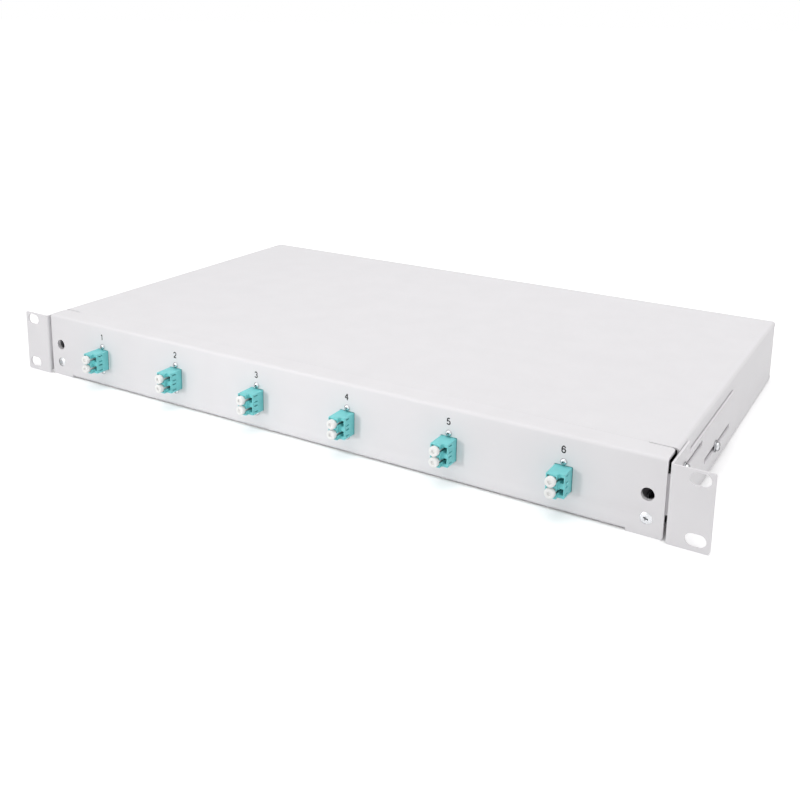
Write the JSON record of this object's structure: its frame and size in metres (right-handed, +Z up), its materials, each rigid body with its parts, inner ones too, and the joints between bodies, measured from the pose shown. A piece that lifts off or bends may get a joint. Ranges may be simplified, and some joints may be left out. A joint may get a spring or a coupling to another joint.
{
  "type": "fibre splice box",
  "caption": "Flat rack-mounted fibre splice box with a pull-out drawer, a front row of duplex adapters with dust caps, side brackets and a splice cassette inside.",
  "frame": {"origin": "centre of the four rack slots, on the back faces of the ears, which is also the front panel's outer face", "axes": "+X to the right seen from the front, +Y to the back of the box, +Z up"},
  "size_m": [0.4826, 0.3016, 0.0436],
  "materials": {
    "grey_powder_coat": "fine light grey powder coat",
    "zinc_sheet": "zinc-coated steel sheet",
    "zinc_steel": "bright zinc-plated steel",
    "turquoise_plastic": "moulded turquoise plastic",
    "cap_plastic": "soft white plastic",
    "blue_plastic": "moulded blue plastic",
    "white_plastic": "soft white plastic",
    "fibre_coating": "coloured fibre coating",
    "cassette_plastic": "light grey moulded plastic",
    "clear_plastic": "clear moulded plastic",
    "clear_sleeve": "clear shrink tube with a steel rod",
    "black_plastic": "black moulded plastic",
    "gland_plastic": "grey moulded plastic",
    "black_rubber": "black rubber",
    "clip_plastic": "white moulded plastic",
    "slide_plastic": "low-friction white plastic"
  },
  "bodies": {
    "housing_body": {"housing": "grey_powder_coat", "base_plate": "zinc_sheet", "side_nuts": "zinc_steel", "bracket_washers": "zinc_steel", "bracket_screws": "zinc_steel", "slide_strip_left": "slide_plastic", "slide_strip_right": "slide_plastic", "guide_rail_left": "zinc_sheet", "guide_rail_right": "zinc_sheet"},
    "bracket_left_body": {"bracket_left": "grey_powder_coat"},
    "bracket_right_body": {"bracket_right": "grey_powder_coat"},
    "drawer_body": {"adapter_1": "turquoise_plastic", "adapter_2": "turquoise_plastic", "adapter_3": "turquoise_plastic", "adapter_4": "turquoise_plastic", "adapter_5": "turquoise_plastic", "adapter_6": "turquoise_plastic", "adapter_nuts": "zinc_steel", "adapter_screws": "zinc_steel", "blind_plug_locknuts": "gland_plastic", "blind_plugs": "gland_plastic", "cassette_lid": "clear_plastic", "cassette_nuts": "black_plastic", "drawer_tray": "grey_powder_coat", "fibre_clips": "clip_plastic", "front_panel": "grey_powder_coat", "gland_body_left": "gland_plastic", "gland_body_right": "gland_plastic", "gland_cap_left": "gland_plastic", "gland_cap_right": "gland_plastic", "gland_locknut_left": "gland_plastic", "gland_locknut_right": "gland_plastic", "gland_seal_left": "black_rubber", "gland_seal_right": "black_rubber", "panel_screws": "zinc_steel", "pigtail_plugs": "blue_plastic", "pigtails_1": "fibre_coating", "pigtails_2": "fibre_coating", "pigtails_3": "fibre_coating", "pigtails_4": "fibre_coating", "pigtails_5": "fibre_coating", "pigtails_6": "fibre_coating", "plug_boots": "white_plastic", "splice_cassette": "cassette_plastic", "splice_comb": "cassette_plastic", "splice_protectors": "clear_sleeve", "stud_nuts": "zinc_steel", "tie_bridges": "zinc_sheet"},
    "dust_cap_1_lower_body": {"dust_cap_1_lower": "cap_plastic"},
    "dust_cap_1_upper_body": {"dust_cap_1_upper": "cap_plastic"},
    "dust_cap_2_lower_body": {"dust_cap_2_lower": "cap_plastic"},
    "dust_cap_2_upper_body": {"dust_cap_2_upper": "cap_plastic"},
    "dust_cap_3_lower_body": {"dust_cap_3_lower": "cap_plastic"},
    "dust_cap_3_upper_body": {"dust_cap_3_upper": "cap_plastic"},
    "dust_cap_4_lower_body": {"dust_cap_4_lower": "cap_plastic"},
    "dust_cap_4_upper_body": {"dust_cap_4_upper": "cap_plastic"},
    "dust_cap_5_lower_body": {"dust_cap_5_lower": "cap_plastic"},
    "dust_cap_5_upper_body": {"dust_cap_5_upper": "cap_plastic"},
    "dust_cap_6_lower_body": {"dust_cap_6_lower": "cap_plastic"},
    "dust_cap_6_upper_body": {"dust_cap_6_upper": "cap_plastic"}
  },
  "joints": [
    {"name": "drawer_slide", "type": "slide", "parent": "housing_body", "child": "drawer_body", "axis": [0, -1, 0], "range_m": [0, 0.21]},
    {"name": "bracket_left_slide", "type": "slide", "parent": "housing_body", "child": "bracket_left_body", "axis": [0, 1, 0], "range_m": [-0.02, 0.009]},
    {"name": "bracket_right_slide", "type": "slide", "parent": "housing_body", "child": "bracket_right_body", "axis": [0, 1, 0], "range_m": [-0.02, 0.009]},
    {"name": "dust_cap_1_lower_pull", "type": "slide", "parent": "drawer_body", "child": "dust_cap_1_lower_body", "axis": [0, -1, 0], "range_m": [0, 0.012]},
    {"name": "dust_cap_1_upper_pull", "type": "slide", "parent": "drawer_body", "child": "dust_cap_1_upper_body", "axis": [0, -1, 0], "range_m": [0, 0.012]},
    {"name": "dust_cap_2_lower_pull", "type": "slide", "parent": "drawer_body", "child": "dust_cap_2_lower_body", "axis": [0, -1, 0], "range_m": [0, 0.012]},
    {"name": "dust_cap_2_upper_pull", "type": "slide", "parent": "drawer_body", "child": "dust_cap_2_upper_body", "axis": [0, -1, 0], "range_m": [0, 0.012]},
    {"name": "dust_cap_3_lower_pull", "type": "slide", "parent": "drawer_body", "child": "dust_cap_3_lower_body", "axis": [0, -1, 0], "range_m": [0, 0.012]},
    {"name": "dust_cap_3_upper_pull", "type": "slide", "parent": "drawer_body", "child": "dust_cap_3_upper_body", "axis": [0, -1, 0], "range_m": [0, 0.012]},
    {"name": "dust_cap_4_lower_pull", "type": "slide", "parent": "drawer_body", "child": "dust_cap_4_lower_body", "axis": [0, -1, 0], "range_m": [0, 0.012]},
    {"name": "dust_cap_4_upper_pull", "type": "slide", "parent": "drawer_body", "child": "dust_cap_4_upper_body", "axis": [0, -1, 0], "range_m": [0, 0.012]},
    {"name": "dust_cap_5_lower_pull", "type": "slide", "parent": "drawer_body", "child": "dust_cap_5_lower_body", "axis": [0, -1, 0], "range_m": [0, 0.012]},
    {"name": "dust_cap_5_upper_pull", "type": "slide", "parent": "drawer_body", "child": "dust_cap_5_upper_body", "axis": [0, -1, 0], "range_m": [0, 0.012]},
    {"name": "dust_cap_6_lower_pull", "type": "slide", "parent": "drawer_body", "child": "dust_cap_6_lower_body", "axis": [0, -1, 0], "range_m": [0, 0.012]},
    {"name": "dust_cap_6_upper_pull", "type": "slide", "parent": "drawer_body", "child": "dust_cap_6_upper_body", "axis": [0, -1, 0], "range_m": [0, 0.012]}
  ]
}
